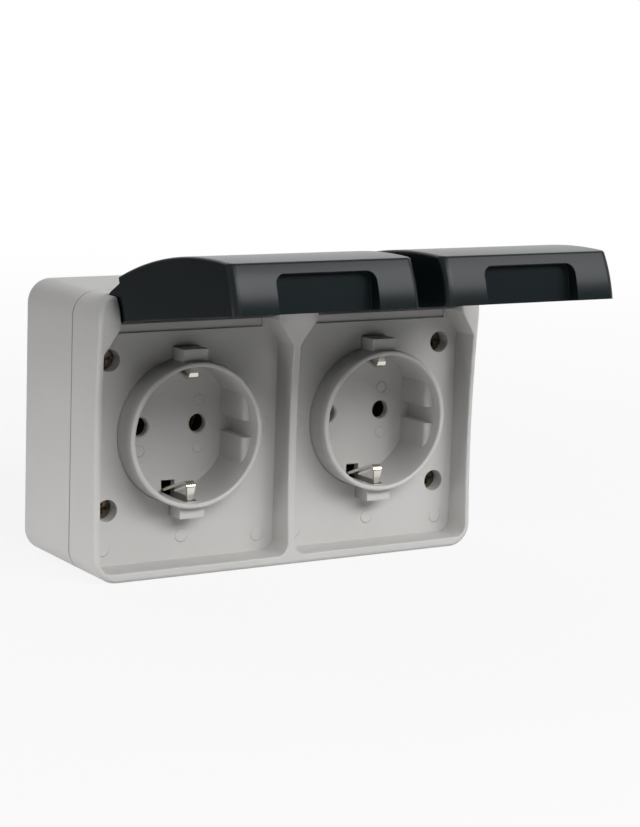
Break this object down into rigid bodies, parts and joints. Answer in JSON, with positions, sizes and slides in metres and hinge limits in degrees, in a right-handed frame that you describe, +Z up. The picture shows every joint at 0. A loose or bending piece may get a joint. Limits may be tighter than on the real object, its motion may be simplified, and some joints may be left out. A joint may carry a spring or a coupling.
{
  "type": "outdoor weatherproof socket",
  "caption": "Surface-mounted weatherproof socket outlet: light-grey wall box with earthed round plug recesses side by side, under dark lids that hinge open along its top edge.",
  "frame": {"origin": "centre of the rear face, which lies on the wall", "axes": "+X to the viewer's right, +Y into the wall, +Z up; the plugs go in from -Y"},
  "size_m": [0.128, 0.1157, 0.0979],
  "materials": {
    "housing_plastic": "light-grey moulded plastic, satin",
    "insert_plastic": "light-grey moulded plastic, satin",
    "lid_plastic": "anthracite moulded plastic, satin",
    "carrier_plastic": "black insulating moulding, matt",
    "contact_brass": "pressed brass, bare",
    "strap_nickel": "nickel-plated spring strip",
    "cover_screw_zinc": "yellow zinc-plated steel",
    "screw_steel": "zinc-plated steel",
    "seal_rubber": "soft black rubber",
    "grommet_rubber": "soft grey rubber"
  },
  "bodies": {
    "housing": {"rear_box": "housing_plastic", "front_cover": "housing_plastic", "left_socket_insert": "insert_plastic", "right_socket_insert": "insert_plastic", "left_contact_carrier": "carrier_plastic", "right_contact_carrier": "carrier_plastic", "left_phase_contact": "contact_brass", "left_neutral_contact": "contact_brass", "right_phase_contact": "contact_brass", "right_neutral_contact": "contact_brass", "left_earth_strap": "strap_nickel", "right_earth_strap": "strap_nickel", "cover_screws": "cover_screw_zinc", "insert_screws": "screw_steel", "carrier_screws": "screw_steel", "terminal_screws": "screw_steel", "earth_screws": "screw_steel", "cover_gasket": "seal_rubber", "cable_grommet": "grommet_rubber"},
    "left_lid": {"left_lid": "lid_plastic", "left_lid_seal": "seal_rubber"},
    "right_lid": {"right_lid": "lid_plastic", "right_lid_seal": "seal_rubber"}
  },
  "joints": [
    {"name": "left_lid_hinge", "type": "hinge", "parent": "housing", "child": "left_lid", "pos_m": [-0.03185, -0.0425, 0.0372], "axis": [1, 0, 0], "range_deg": [0, 98.8]},
    {"name": "right_lid_hinge", "type": "hinge", "parent": "housing", "child": "right_lid", "pos_m": [0.03185, -0.0425, 0.0372], "axis": [1, 0, 0], "range_deg": [0, 98.8]}
  ]
}
